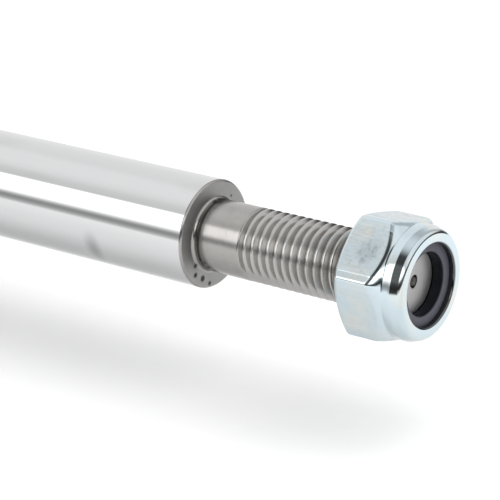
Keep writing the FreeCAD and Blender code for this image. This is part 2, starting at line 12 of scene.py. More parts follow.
import bmesh
import bpy
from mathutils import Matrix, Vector


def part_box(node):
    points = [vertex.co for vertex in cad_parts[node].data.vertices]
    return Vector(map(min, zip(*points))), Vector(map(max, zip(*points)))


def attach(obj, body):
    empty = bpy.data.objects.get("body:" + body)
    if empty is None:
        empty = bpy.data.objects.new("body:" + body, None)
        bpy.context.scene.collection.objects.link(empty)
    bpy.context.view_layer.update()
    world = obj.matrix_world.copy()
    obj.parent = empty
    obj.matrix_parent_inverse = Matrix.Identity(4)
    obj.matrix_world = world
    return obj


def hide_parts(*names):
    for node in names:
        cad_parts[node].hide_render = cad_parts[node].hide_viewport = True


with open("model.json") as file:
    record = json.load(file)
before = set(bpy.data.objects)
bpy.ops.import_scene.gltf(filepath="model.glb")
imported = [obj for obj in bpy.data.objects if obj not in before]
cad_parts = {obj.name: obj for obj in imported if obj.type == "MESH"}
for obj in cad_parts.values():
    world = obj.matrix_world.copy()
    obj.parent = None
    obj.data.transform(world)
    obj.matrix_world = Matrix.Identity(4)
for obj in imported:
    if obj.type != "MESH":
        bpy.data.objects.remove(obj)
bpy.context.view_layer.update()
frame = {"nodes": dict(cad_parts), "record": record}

MM = 0.001
scene = bpy.context.scene
scene.view_settings.view_transform = "Standard"

# %% [markdown]
# ## The camera
# The photograph was taken with a long lens from close by, a little above the stud, so the rod
# shrinks only slightly towards the back. Everything that the picture shows is near the shoulder, so
# the camera's place is given from there: how far back along its own line of sight, and how far to the
# right of that line and below it. Lengths are in mm.

# %% Place the camera
STUD_LENGTH = 38.3
AZIMUTH, ELEVATION = math.radians(36.838), math.radians(18.8125)
DISTANCE, TO_THE_RIGHT, BELOW = 366.4359, 5.6655, 2.5866
FOCAL_LENGTH = 163.1

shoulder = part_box("piston_rod")[1].x - STUD_LENGTH * MM
level = math.cos(ELEVATION)
back = Vector((math.sin(AZIMUTH) * level, -math.cos(AZIMUTH) * level, math.sin(ELEVATION)))
right = Vector((math.cos(AZIMUTH), math.sin(AZIMUTH), 0))
above = back.cross(right)

lens = bpy.data.cameras.new("studio_lens")
lens.lens = FOCAL_LENGTH
lens.clip_start = 10 * MM
camera = bpy.data.objects.new("studio_camera", lens)
scene.collection.objects.link(camera)
camera.location = Vector((shoulder, 0, 0)) + MM * (DISTANCE * back + TO_THE_RIGHT * right - BELOW * above)
camera.rotation_mode = "QUATERNION"
camera.rotation_quaternion = back.to_track_quat("Z", "Y")
scene.camera = camera
print("camera is", round((camera.location - Vector((shoulder, 0, 0))).length / MM), "mm from the shoulder")

# %% [markdown]
# ## Node trees as expressions
# Materials, the light and the Geometry Nodes trees are all made of the same two ideas: add a node
# with its settings and its sockets, and do sums on what comes out. A Wire is one output. A sum on it
# adds a Math node, so a formula reads as it would on paper.


# %% Wire
class Wire:
    """One output of a node. A sum on it adds the Math node that works it out."""

    def __init__(self, nodes, socket):
        self.nodes = nodes
        self.socket = socket

    def also(self, name):
        """Another output of the same node."""
        return Wire(self.nodes, self.socket.node.outputs[name])

    def math(self, operation, *others, swapped=False):
        terms = [self, *others]
        if swapped:
            terms.reverse()
        return self.nodes.add("ShaderNodeMath", {"operation": operation}, dict(enumerate(terms)))

    def __add__(self, other):
        return self.math("ADD", other)

    def __sub__(self, other):
        return self.math("SUBTRACT", other)

    def __rsub__(self, other):
        return self.math("SUBTRACT", other, swapped=True)

    def __mul__(self, other):
        return self.math("MULTIPLY", other)

    def __truediv__(self, other):
        return self.math("DIVIDE", other)

    def __rtruediv__(self, other):
        return self.math("DIVIDE", other, swapped=True)

    def __pow__(self, other):
        return self.math("POWER", other)

    __radd__ = __add__
    __rmul__ = __mul__

    def between(self, low, high):
        """0 up to low, 1 from high on, with a soft rise between them."""
        sockets = {"Value": self, "From Min": low, "From Max": high}
        return self.nodes.add("ShaderNodeMapRange", {"interpolation_type": "SMOOTHSTEP"}, sockets)

    def past(self, low, high):
        """The same for a length, with low and high in mm."""
        return self.between(low * MM, high * MM)


print("a Wire knows", len([name for name in vars(Wire) if name.startswith("__")]), "special methods")


# %% Nodes
class Nodes:
    """A node tree, and the one method that adds to it."""

    def __init__(self, tree):
        self.tree = tree
        tree.nodes.clear()

    def add(self, kind, settings=None, sockets=None, take=0):
        """Add a node, set it up, then fill its sockets with numbers or wires. take names the output."""
        node = self.tree.nodes.new(kind)
        for name, value in (settings or {}).items():
            if name == "stops":
                set_stops(node.color_ramp, value)
            elif name == "curve":
                set_curve(node.mapping, value)
            else:
                setattr(node, name, value)
        for name, value in (sockets or {}).items():
            if isinstance(value, Wire):
                self.tree.links.new(value.socket, node.inputs[name])
            else:
                node.inputs[name].default_value = value
        return Wire(self, node.outputs[take]) if node.outputs else node


def set_stops(ramp, stops):
    """Give a colour ramp its (position, grey) stops."""
    while len(ramp.elements) < len(stops):
        ramp.elements.new(1.0)
    for element, (position, grey) in zip(ramp.elements, stops):
        element.position = position
        element.color = (grey, grey, grey, 1.0)


def set_curve(mapping, points):
    """Give a float curve its (x, y) points, joined by straight lines."""
    line = mapping.curves[0].points
    while len(line) < len(points):
        line.new(1.0, 1.0)
    for point, (x, y) in zip(line, points):
        point.location = (x, y)
        point.handle_type = "VECTOR"
    mapping.update()


print("a tree is built with", Nodes.add.__name__)

# %% [markdown]
# ## What the finishes share
# Nearly every piece here was turned on a lathe, so its marks run round the shock absorber's axis.
# A texture that is stretched along (place on the axis + distance from it) gives rings on a face and
# on a cylinder alike, and the direction (y, z) / radius makes them change slowly on the way round,
# with no seam.


# %% Helpers for finishes
def new_finish(name):
    """A material and its tree, with the Object coordinates as the third value."""
    material = bpy.data.materials.new(name)
    material.use_nodes = True
    nodes = Nodes(material.node_tree)
    return material, nodes, nodes.add("ShaderNodeTexCoord", take="Object")


def blend(nodes, factor, first, second):
    """The first colour, turning into the second as the factor rises to 1."""
    colours = [c if isinstance(c, Wire) else (*c, 1.0) for c in (first, second)]
    return nodes.add("ShaderNodeMix", {"data_type": "RGBA"}, {0: factor, 6: colours[0], 7: colours[1]}, 2)


def bump(nodes, height, depth, strength=1.0):
    return nodes.add("ShaderNodeBump", {}, {"Height": height, "Distance": depth, "Strength": strength})


def dress(nodes, colour, roughness, normal, **constants):
    """The surface shader. Constants go straight onto its own sockets."""
    sockets = {"Base Color": colour, "Roughness": roughness, "Normal": normal}
    sockets.update({name.replace("_", " "): value for name, value in constants.items()})
    surface = nodes.add("ShaderNodeBsdfPrincipled", {}, sockets)
    nodes.add("ShaderNodeOutputMaterial", {}, {"Surface": surface})


print("helpers for finishes are ready")

# %% Helpers for patterns
WANDER = 3.0
NO_ZERO = 1e-6


def noise(nodes, vector, scale, detail=2.0, rough=0.5):
    sockets = {"Vector": vector, "Scale": scale, "Detail": detail, "Roughness": rough}
    return nodes.add("ShaderNodeTexNoise", {}, sockets, "Fac")


def stretched(nodes, vector, scale):
    return nodes.add("ShaderNodeMapping", {}, {"Vector": vector, "Scale": scale})


def distance(nodes, place, centre):
    return nodes.add("ShaderNodeVectorMath", {"operation": "DISTANCE"}, {0: place, 1: centre}, "Value")


def greatest(wires):
    """The greatest of several wires."""
    result = wires[0]
    for wire in wires[1:]:
        result = result.math("MAXIMUM", wire)
    return result


def axial(nodes, place):
    """How far a place is along the X axis, and how far from it."""
    along = nodes.add("ShaderNodeSeparateXYZ", {}, {"Vector": place})
    across, up = along.also("Y"), along.also("Z")
    return along, (across * across + up * up).math("SQRT")


def lathe_marks(nodes, place, fineness):
    """A noise in rings about the X axis, which wanders a little on the way round."""
    along, radius = axial(nodes, place)
    y, z = (along.also(name) / (radius + NO_ZERO) * WANDER for name in "YZ")
    rings = nodes.add("ShaderNodeCombineXYZ", {}, {"X": (along + radius) * fineness, "Y": y, "Z": z})
    return noise(nodes, rings, 1.0, 3.0, 0.65)


print("helpers for patterns are ready")

# %% [markdown]
# ## Ground chrome
# The rod's chrome is ground between wheels and then polished, which leaves rings far too fine to
# see one by one. They only soften what it mirrors. A thin haze of oil lies on it. A darker spot near
# the shoulder, longer round the rod than along it, is a painted dark reflection.

# %% Finish: ground chrome
# Stretch of the painted dark reflection near the shoulder.
DARK_REFLECTION_STRETCH = 1.7
chrome, nodes, place = new_finish("ground_chrome")
rings = lathe_marks(nodes, place, 9000.0)
smear = noise(nodes, stretched(nodes, place, (60.0, 140.0, 140.0)), 1.0, 3.0)
haze = smear.between(0.52, 0.75)
# A darker spot on the rod's lower front near the shoulder is a painted dark reflection, and is slightly
# rougher.
dark_reflection_centre = ((shoulder - 19 * MM) * DARK_REFLECTION_STRETCH, -7.9 * MM, -4.2 * MM)
painted_dark_reflection = distance(nodes, stretched(nodes, place, (DARK_REFLECTION_STRETCH, 1.0, 1.0)), dark_reflection_centre)
painted_dark_reflection = 1.0 - (painted_dark_reflection + 2.4 * MM * smear).past(1.4, 5.2)
colour = blend(nodes, haze * 0.35, (0.73, 0.735, 0.74), (0.62, 0.62, 0.62))
# The painted dark reflection darkens the chrome here.
colour = blend(nodes, painted_dark_reflection * 0.6, colour, (0.30, 0.30, 0.31))
dress(nodes, colour, 0.055 + haze * 0.05 + painted_dark_reflection * 0.1, bump(nodes, rings, 0.0012 * MM), Metallic=1.0)
print("made", chrome.name)

# %% [markdown]
# ## Machined steel
# Past the shoulder the bar was turned and the thread rolled after plating, so bare steel shows: a
# warmer grey, with tool marks that can be seen. Rolling burnishes the thread, so it is brighter. Its
# bottom, where the radius is small, is painted darker brown, more of it nearer to the nut: partly old
# oil, partly painted shade in the groove. The relief groove at the root of the neck is painted near
# black as painted shade. The pits are small dark hollows at fixed places on the shoulder's face; the
# dark spots at the root of the neck are partly dirt, partly painted shade.

# %% Masks on machined steel
THREAD_START = 8.6
steel, nodes, place = new_finish("machined_steel")
marks = lathe_marks(nodes, place, 5200.0)
patches = noise(nodes, place, 420.0, 4.0, 0.6)
dirt = patches.between(0.35, 0.7)
along, radius = axial(nodes, place)
from_shoulder = along - shoulder
threaded = from_shoulder.past(THREAD_START + 0.2, THREAD_START + 0.8)
threaded = threaded * (1.0 - from_shoulder.past(STUD_LENGTH - 1.7, STUD_LENGTH - 1.3))
# The thread's bottom is painted darker brown, more towards the nut: partly old oil, partly painted shade in
# the groove.
oil_and_groove_shade = threaded * (1.0 - radius.past(5.15, 5.88)) * (0.05 + 0.45 * from_shoulder.past(12, 32))
face = (1.0 - from_shoulder.past(0.02, 0.1)) * radius.past(6.2, 6.5) * (1.0 - radius.past(8.45, 8.8))
# The relief groove at the neck's root is painted near black, as painted shade.
painted_root_shade = (1.0 - from_shoulder.past(1.2, 1.7)) * (1.0 - radius.past(5.86, 6.0))
stud_face = from_shoulder.past(STUD_LENGTH - 0.2, STUD_LENGTH - 0.1)

# Pits on the shoulder's face. The last three spots, at the neck's root, are partly dirt and partly painted
# shade.
pit_and_root_shade_spots = []
for at, across, up, size in (
        (0.0, -5.18, -4.05, 0.55), (0.0, -5.18, -5.6, 0.5), (0.0, -3.32, -6.69, 0.62),
        (0.0, -1.46, -8.02, 0.5), (0.0, 4.35, 5.45, 0.32),
        (1.2, -0.6, 5.9, 1.0), (1.2, 0.8, 5.9, 1.1), (1.0, 2.0, 5.6, 0.9)):
    centre = (shoulder + at * MM, across * MM, up * MM)
    wobbly = distance(nodes, place, centre) + patches * 0.5 * MM
    pit_and_root_shade_spots.append(1.0 - wobbly.past(size - 0.1, size + 0.35))
pits_and_root_shade = greatest(pit_and_root_shade_spots)
print("steel has", len(pit_and_root_shade_spots), "pits_and_root_shade")

# %% Finish: machined steel
colour = blend(nodes, marks * 0.6, (0.47, 0.458, 0.445), (0.36, 0.348, 0.335))
# Some of these darker shades are painted shade: the thread's bottom, the root groove and the spots at the
# neck's root.
for mask, shade in (
        (dirt * 0.25, (0.30, 0.285, 0.27)), (threaded * 0.6, (0.60, 0.59, 0.575)),
        (face * (0.55 + 0.2 * dirt), (0.36, 0.365, 0.36)), (stud_face * 0.8, (0.66, 0.66, 0.66)),
        (oil_and_groove_shade, (0.12, 0.10, 0.08)), (painted_root_shade * 0.8, (0.07, 0.06, 0.05)), (pits_and_root_shade * 0.85, (0.035, 0.035, 0.035))):
    colour = blend(nodes, mask, colour, shade)
roughness = 0.15 + 0.12 * marks + 0.3 * face + 0.2 * oil_and_groove_shade + 0.2 * pits_and_root_shade + 0.3 * stud_face
dress(nodes, colour, roughness, bump(nodes, marks - 3.0 * pits_and_root_shade, 0.006 * MM), Metallic=1.0)
print("made", steel.name)

# %% [markdown]
# ## Bright zinc plate
# The nut is zinc plated and passivated, which gives a pale blue, slightly milky shine whose tint
# drifts from blue to straw. The flats keep fine straight lines from the drawn bar, and the tumbling
# before plating leaves tiny scratches. The lines run along the nut, so this noise is stretched along
# X instead of round it. The cone and the collar are rolled, so they are smoother: a place belongs to a
# flat where one of three directions across the nut reaches the flats' own distance from the axis. A
# greasy smudge sits on one of the upper flats.

# %% Masks on zinc plate
NUT_WIDTH, NUT_TURN = 18.7, math.radians(49.1)
nut_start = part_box("lock_nut")[0].x
zinc, nodes, place = new_finish("zinc_plate")
drawn = noise(nodes, stretched(nodes, place, (260.0, 2600.0, 2600.0)), 1.0, 3.0, 0.6)
scratches = noise(nodes, stretched(nodes, place, (900.0, 5200.0, 900.0)), 1.0, 5.0, 0.75)
mottled = noise(nodes, place, 900.0, 5.0, 0.7).between(0.46, 0.7)
tint = noise(nodes, place, 210.0, 2.0)

reaches = []
for side in range(3):
    turn = NUT_TURN + math.radians(90 + 60 * side)
    sockets = {0: place, 1: (0.0, math.cos(turn), math.sin(turn))}
    dot = nodes.add("ShaderNodeVectorMath", {"operation": "DOT_PRODUCT"}, sockets, "Value")
    reaches.append(dot.math("ABSOLUTE"))
flat = greatest(reaches).past(NUT_WIDTH / 2 - 0.05, NUT_WIDTH / 2 - 0.01)

along, radius = axial(nodes, place)
used = flat * (0.3 + 0.7 * along.also("Z").past(0, 3))
# The nut's inside, meaning the collar's inner wall and the bore, is painted near black as painted shade.
inner = 1.0 - radius.past(6.72, 6.95)
grime = distance(nodes, place, (nut_start + 4.4 * MM, -7.1 * MM, 6.1 * MM)) + 3 * MM * tint
grime = flat * (0.35 + 0.65 * mottled) * (1.0 - grime.past(1.6, 4.4))
print("zinc has", len(reaches), "pairs of flats")

# %% Finish: bright zinc plate
colour = blend(nodes, tint.between(0.4, 0.7), (0.66, 0.77, 0.82), (0.74, 0.78, 0.77))
for mask, shade in (
        (drawn.between(0.5, 0.66) * used * 0.38, (0.52, 0.58, 0.61)),
        (mottled * used * 0.5, (0.50, 0.53, 0.54)),
        (scratches.between(0.62, 0.72) * 0.4, (0.86, 0.88, 0.90)),
        (grime * 0.75, (0.22, 0.25, 0.27)),
        # Painted shade inside the nut.
        (inner * 0.9, (0.05, 0.05, 0.05))):
    colour = blend(nodes, mask, colour, shade)
roughness = 0.07 + 0.05 * drawn + flat * (0.1 + 0.06 * mottled)
relief = (drawn + 0.25 * scratches) * (0.3 + 0.5 * flat)
dress(nodes, colour, roughness, bump(nodes, relief, 0.004 * MM), Metallic=1.0)
print("made", zinc.name)

# %% [markdown]
# ## Nylon
# The locking ring is a dark grey nylon, stamped from sheet: matt, with a very fine grain and a few
# light scuffs where the collar was rolled over it. Its hole is painted almost black, as painted shade.

# %% Finish: nylon
nylon, nodes, place = new_finish("dark_nylon")
grain = noise(nodes, place, 9000.0, 3.0, 0.6)
scuffs = noise(nodes, place, 1300.0, 4.0, 0.7).between(0.56, 0.74)
# The hole's wall is painted almost black, as painted shade inside the hole.
painted_hole_shade = 1.0 - axial(nodes, place)[1].past(5.0, 5.2)
colour = blend(nodes, scuffs * 0.5, (0.092, 0.094, 0.115), (0.15, 0.15, 0.17))
colour = blend(nodes, painted_hole_shade, colour, (0.002, 0.003, 0.007))
relief = bump(nodes, grain + scuffs, 0.008 * MM)
dress(nodes, colour, 0.42 + 0.15 * grain, relief, Metallic=0.0, Specular_IOR_Level=0.25)
print("made", nylon.name)

# %% [markdown]
# ## Black powder coat
# Body, caps and eye are coated after welding. Powder coat flows out with a soft orange-peel surface
# about a millimetre across, and collects a trace of dust.

# %% Finish: powder coat
coat, nodes, place = new_finish("powder_coat")
peel = noise(nodes, place, 900.0, 1.5, 0.4)
speckle = noise(nodes, place, 5200.0, 3.0, 0.7)
dust = noise(nodes, place, 95.0, 5.0, 0.6).between(0.5, 0.85)
colour = blend(nodes, dust * 0.35, (0.013, 0.0135, 0.015), (0.048, 0.048, 0.047))
colour = blend(nodes, speckle.between(0.66, 0.74) * 0.4, colour, (0.085, 0.085, 0.09))
roughness = 0.30 + 0.16 * dust + 0.05 * peel
relief = bump(nodes, peel, 0.04 * MM, 0.8)
dress(nodes, colour, roughness, relief, Metallic=0.0, Specular_IOR_Level=0.4)
print("made", coat.name)

# %% [markdown]
# ## Rubber and plastic inside and out
# These differ only in colour, grain and how dull they are, so one function makes them all from a row
# of numbers. Rubber blooms: a grey film comes out of it in soft clouds.


# %% Finishes: rubber and plastic
def moulded(name, colour, film, grain_scale, dullness, depth):
    """A moulded material whose grain and film change over the surface."""
    material, nodes, place = new_finish(name)
    grain = noise(nodes, place, grain_scale, 4.0, 0.65)
    cloud = noise(nodes, place, 160.0, 4.0, 0.6).between(0.42, 0.8)
    mixed = blend(nodes, cloud * 0.6, colour, film)
    roughness = dullness + 0.15 * grain - 0.08 * cloud
    dress(nodes, mixed, roughness, bump(nodes, grain, depth * MM), Metallic=0.0, Specular_IOR_Level=0.35)
    return material


bush_rubber = moulded("bush_rubber", (0.022, 0.022, 0.023), (0.052, 0.052, 0.054), 2600.0, 0.58, 0.03)
seal_rubber = moulded("seal_rubber", (0.016, 0.016, 0.018), (0.035, 0.035, 0.038), 6000.0, 0.36, 0.008)
foam = moulded("bumper_foam", (0.19, 0.13, 0.06), (0.28, 0.21, 0.11), 3400.0, 0.6, 0.05)
bearing = moulded("bearing_tape", (0.17, 0.10, 0.045), (0.30, 0.19, 0.09), 7000.0, 0.38, 0.01)
print("made", bush_rubber.name, seal_rubber.name, foam.name, bearing.name)

# %% [markdown]
# ## Other metals
# Aluminium, copper, blued spring steel, plain steel and sintered iron sit inside the body. Each has
# its tool marks. Sintered iron has pores instead, as it was pressed from powder.


# %% Finishes: other turned metals
def turned_metal(name, light, dark, fineness, smoothness, depth):
    """Metal whose rings and patches vary between two shades."""
    material, nodes, place = new_finish(name)
    marks = lathe_marks(nodes, place, fineness)
    patches = noise(nodes, place, 260.0, 3.0).between(0.35, 0.75)
    shade = blend(nodes, patches * 0.6 + 0.3 * marks, light, dark)
    dress(nodes, shade, smoothness + 0.14 * marks, bump(nodes, marks, depth * MM), Metallic=1.0)
    return material


aluminium = turned_metal("turned_aluminium", (0.78, 0.79, 0.80), (0.64, 0.65, 0.67), 4200.0, 0.22, 0.006)
copper = turned_metal("soft_copper", (0.78, 0.44, 0.30), (0.58, 0.29, 0.19), 5200.0, 0.24, 0.005)
spring_steel = turned_metal("blued_spring_steel", (0.34, 0.38, 0.47), (0.22, 0.22, 0.30), 7000.0, 0.24, 0.003)
plain_steel = turned_metal("plain_steel", (0.56, 0.56, 0.57), (0.43, 0.42, 0.41), 4800.0, 0.26, 0.005)
print("made", aluminium.name, copper.name, spring_steel.name, plain_steel.name)

# %% Finish: sintered iron
iron, nodes, place = new_finish("sintered_iron")
pores = nodes.add("ShaderNodeTexVoronoi", {}, {"Vector": place, "Scale": 4200.0}, "Distance")
clouds = noise(nodes, place, 700.0, 4.0)
colour = blend(nodes, 1.0 - pores.between(0.1, 0.35), (0.24, 0.24, 0.25), (0.07, 0.07, 0.075))
colour = blend(nodes, clouds * 0.4, colour, (0.15, 0.16, 0.19))
dress(nodes, colour, 0.42 + 0.2 * clouds, bump(nodes, pores, 0.02 * MM), Metallic=0.9)
print("made", iron.name)

# %% [markdown]
# ## Dress the solids that stay
# The CAD nodes whose shape is already right only change their material. A node that a mesh replaces
# further down still gets its finish here, as a cross-section shows it.

# %% Give each node its finish
finishes = {
    "hard_chrome": chrome, "zinc_plate": zinc, "nylon": nylon, "black_coat": coat, "eye_rubber": bush_rubber,
    "seal_rubber": seal_rubber, "bumper": foam, "bearing_tape": bearing, "copper_seal": copper,
    "aluminium": aluminium, "sintered_iron": iron, "spring_steel": spring_steel, "bare_steel": plain_steel,
}
for subpart in frame["record"]["subparts"]:
    for slot in frame["nodes"][subpart["node"]].material_slots:
        slot.material = finishes[subpart["material_slot"]]

# %% [markdown]
# ## Turned meshes
# A lathe sweeps a profile round an axis. On a real edge the tool, the tumbling barrel or the coating
# leaves a small radius, and it is this radius that catches the light. So each corner of a profile is
# eased with a short curve before the sweep, with one extra ring on either side of it, which keeps
# the shading of the broad faces flat. A corner is (along, radius), or (along, radius, easing), in mm.

# %% Profiles
ROOM_SHARE = 0.42
EXTRA_RING = 1.15


def eased(corners, radius, steps=4):
    """The corners as (along, radius) points in metres, with each inner corner rounded."""
    points = [Vector(corner[:2]) for corner in corners]
    line = [points[0]]
    for index in range(1, len(points) - 1):
        before, corner, after = points[index - 1:index + 2]
        wanted = corners[index][2] if len(corners[index]) == 3 else radius
        room = ROOM_SHARE * min((before - corner).length, (after - corner).length)
        reach = min(wanted, room / EXTRA_RING)
        back_way, on_way = (before - corner).normalized(), (after - corner).normalized()
        line.append(corner + back_way * reach * EXTRA_RING)
        for step in range(steps + 1):
            t = step / steps
            line.append(corner + back_way * reach * (1 - t) ** 2 + on_way * reach * t ** 2)
        line.append(corner + on_way * reach * EXTRA_RING)
    line.append(points[-1])
    return [(p.x * MM, max(p.y, 0.0) * MM) for p in line]


print("three corners become", len(eased([(0, 1), (1, 1), (1, 0)], 0.2)), "points")

# %% Sweeps and closed meshes
POLE = 1e-7
MERGE_DISTANCE = 0.4e-6


def sweep(bm, profile, count, axis="X"):
    """Add the surface that a profile makes when it turns about an axis."""
    rings = []
    for along, radius in profile:
        ring = []
        for i in range(count if radius > POLE else 1):
            a, b = radius * math.cos(2 * math.pi * i / count), radius * math.sin(2 * math.pi * i / count)
            ring.append(bm.verts.new((along, a, b) if axis == "X" else (b, along, a)))
        rings.append(ring)
    for first, second in zip(rings, rings[1:]):
        for i in range(count):
            pairs = [(first, i), (first, i + 1), (second, i + 1), (second, i)]
            face = list(dict.fromkeys(ring[k % len(ring)] for ring, k in pairs))
            if len(face) > 2:
                bm.faces.new(face)


def closed_mesh(bm, name, sharp_angle=40.0):
    """Merge doubles, turn the faces outwards, and return the finished mesh."""
    bmesh.ops.remove_doubles(bm, verts=bm.verts, dist=MERGE_DISTANCE)
    bmesh.ops.recalc_face_normals(bm, faces=bm.faces)
    for edge in bm.edges:
        edge.smooth = len(edge.link_faces) != 2 or edge.calc_face_angle() < math.radians(sharp_angle)
    for face in bm.faces:
        face.smooth = True
    open_edges = sum(len(edge.link_faces) != 2 for edge in bm.edges)
    mesh = bpy.data.meshes.new(name)
    bm.to_mesh(mesh)
    bm.free()
    print(f"{name}: {len(mesh.polygons)} faces, {open_edges} open edges")
    return mesh


def turned_ring(name, corners, ease, count=96, axis="X"):
    """A closed ring, whose last corner runs on to its first."""
    line = eased(corners + corners[:2], ease)[1:-1]
    bm = bmesh.new()
    sweep(bm, line + line[:1], count, axis)
    return closed_mesh(bm, name)


print("helpers for turned meshes are ready")


# %% Pieces
def add_piece(mesh, finish, body, slot, *stands_for):
    """Put a mesh into the scene as a piece that rides on a body."""
    piece = bpy.data.objects.new(mesh.name, mesh)
    scene.collection.objects.link(piece)
    for material in finish if isinstance(finish, list) else [finish]:
        mesh.materials.append(material)
    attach(piece, body)
    if stands_for:
        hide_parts(*stands_for)


print("pieces are added with", add_piece.__name__)

# %% [markdown]
# ## A thread made by a rule
# A rolled M12 x 1.5 thread is one profile that climbs 1.5 mm with every turn. Geometry Nodes make it
# from a flat grid: one side of the grid is the way round, the other the way along, and each row is
# sheared by one pitch, so the rows follow the helix and the crest stays a clean line. The depth
# fades in where the roller started, and a cone cuts the crests at the stud's end. Rows that would
# pass either end are held there and merged.

# %% Helpers for trees
FLOAT, WHOLE, FINISH = "NodeSocketFloat", "NodeSocketInt", "NodeSocketMaterial"


def new_tree(name, inputs):
    """A Geometry Nodes tree with these inputs, given as name: (socket type, value)."""
    tree = bpy.data.node_groups.new(name, "GeometryNodeTree")
    tree.interface.new_socket("Geometry", in_out="INPUT", socket_type="NodeSocketGeometry")
    for label, (kind, value) in inputs.items():
        tree.interface.new_socket(label, in_out="INPUT", socket_type=kind).default_value = value
    tree.interface.new_socket("Geometry", in_out="OUTPUT", socket_type="NodeSocketGeometry")
    nodes = Nodes(tree)
    return tree, nodes, nodes.add("NodeGroupInput")


def end_tree(nodes, geometry, finish):
    """End a tree as the export needs it: instances made real, and the finish set."""
    real = nodes.add("GeometryNodeRealizeInstances", {}, {"Geometry": geometry})
    dressed = nodes.add("GeometryNodeSetMaterial", {}, {"Geometry": real, "Material": finish})
    nodes.add("NodeGroupOutput", {}, {"Geometry": dressed})


def grown(tree, values):
    """Run a tree on an empty object with these named inputs, and return the plain mesh that it makes."""
    start = bpy.data.objects.new("blank", bpy.data.meshes.new("blank"))
    scene.collection.objects.link(start)
    modifier = start.modifiers.new("grow", "NODES")
    modifier.node_group = tree
    sockets = {item.name: item.identifier for item in tree.interface.items_tree if item.in_out == "INPUT"}
    for name, value in values.items():
        modifier[sockets[name]] = value
    evaluated = start.evaluated_get(bpy.context.evaluated_depsgraph_get())
    mesh = bpy.data.meshes.new_from_object(evaluated)
    bpy.data.objects.remove(start)
    return mesh


print("helpers for trees are ready")

# %% The thread's tree
thread_tree, nodes, given = new_tree("rolled_thread", {
    "Pitch": (FLOAT, 0.0), "Crest Radius": (FLOAT, 0.0), "Depth": (FLOAT, 0.0), "Start": (FLOAT, 0.0),
    "End": (FLOAT, 0.0), "Fade": (FLOAT, 0.0), "Cone Radius": (FLOAT, 0.0), "Turn": (FLOAT, 0.0),
    "Columns": (WHOLE, 0), "Rows": (WHOLE, 0), "Rows per Pitch": (WHOLE, 0), "Finish": (FINISH, None),
})
pitch, start, end = given.also("Pitch"), given.also("Start"), given.also("End")
grid = nodes.add("GeometryNodeMeshGrid", {}, {
    "Size X": 1.0, "Size Y": 1.0, "Vertices X": given.also("Columns") + 1, "Vertices Y": given.also("Rows")})
spot = nodes.add("ShaderNodeSeparateXYZ", {}, {"Vector": nodes.add("GeometryNodeInputPosition")})
share = spot + 0.5
row = ((spot.also("Y") + 0.5) * (given.also("Rows") - 1)).math("ROUND")
climb = row / given.also("Rows per Pitch") - 1.0
along = (start + pitch * (climb + share)).math("MAXIMUM", start).math("MINIMUM", end)
phase = (along - start) / pitch - share + given.also("Turn")
from_crest = (phase - phase.math("ROUND")).math("ABSOLUTE") * 2.0
profile = [(0.0, 0.0), (0.125, 0.0), (0.25, 0.15), (0.75, 0.84), (0.875, 0.97), (1.0, 1.0)]
dip = nodes.add("ShaderNodeFloatCurve", {"curve": profile}, {"Value": from_crest})
dip = dip * ((along - start) / given.also("Fade")).between(0.0, 1.0)
radius = given.also("Crest Radius") - given.also("Depth") * dip
radius = radius.math("MINIMUM", given.also("Cone Radius") + end - along)
angle = share * (2 * math.pi)
place = nodes.add("ShaderNodeCombineXYZ", {}, {
    "X": along, "Y": radius * angle.math("COSINE"), "Z": radius * angle.math("SINE")})
mesh = nodes.add("GeometryNodeSetPosition", {}, {"Geometry": grid, "Position": place})
mesh = nodes.add("GeometryNodeMergeByDistance", {}, {"Geometry": mesh, "Distance": 0.5e-6})
end_tree(nodes, mesh, given.also("Finish"))
print("thread tree has", len(thread_tree.nodes), "nodes")

# %% [markdown]
# ## The rod
# One bar of steel: a stem that carries the piston, the ground and chromed length that slides in the
# seals, a shoulder, a plain neck, the thread and a centre hole from the lathe. The shoulder has a
# small chamfer, and its face runs into the neck with a fillet and a narrow relief groove. The bar
# and the stud's end are swept, the thread comes from the tree, and the three are merged into one
# closed skin, with chrome up to the chamfer and bare steel after it.

# %% The rod's mesh
COLUMNS, ROWS_PER_PITCH = 144, 16
STUD_RADIUS, TIP_RADIUS, PITCH, THREAD_DEPTH = 5.95, 4.95, 1.5, 0.92
CHROME_END = -0.36
bar = [
    (-261.5, 0.0), (-261.5, 5.0), (-260.5, 6.0), (-225.5, 6.0), (-225.5, 8.3), (-224.8, 9.0), (-120.0, 9.0),
    (-60.0, 9.0), (-0.3, 9.0, 0.2), (0.0, 8.7, 0.2), (0.0, 6.4), (0.05, 6.24), (0.16, 6.06),
    (0.34, STUD_RADIUS), (0.42, 5.93), (0.55, 5.68), (1.1, 5.68), (1.25, STUD_RADIUS),
    (THREAD_START, STUD_RADIUS),
]
tip = [
    (STUD_LENGTH, TIP_RADIUS), (STUD_LENGTH, 1.12), (STUD_LENGTH - 0.12, 1.03), (STUD_LENGTH - 1.3, 1.0),
    (STUD_LENGTH - 2.4, 0.0),
]
bm = bmesh.new()
for outline, ease in ((bar, 0.25), (tip, 0.12)):
    sweep(bm, [(shoulder + x, r) for x, r in eased(outline, ease)], COLUMNS)
pitches = math.ceil((STUD_LENGTH - THREAD_START) / PITCH) + 2
thread = grown(thread_tree, {
    "Pitch": PITCH * MM, "Crest Radius": STUD_RADIUS * MM, "Depth": THREAD_DEPTH * MM,
    "Start": shoulder + THREAD_START * MM, "End": shoulder + STUD_LENGTH * MM, "Fade": 0.7 * MM,
    "Cone Radius": TIP_RADIUS * MM, "Turn": 0.375, "Columns": COLUMNS, "Rows": pitches * ROWS_PER_PITCH + 1,
    "Rows per Pitch": ROWS_PER_PITCH, "Finish": steel,
})
bm.from_mesh(thread)
rod_mesh = closed_mesh(bm, "piston_rod_bar")
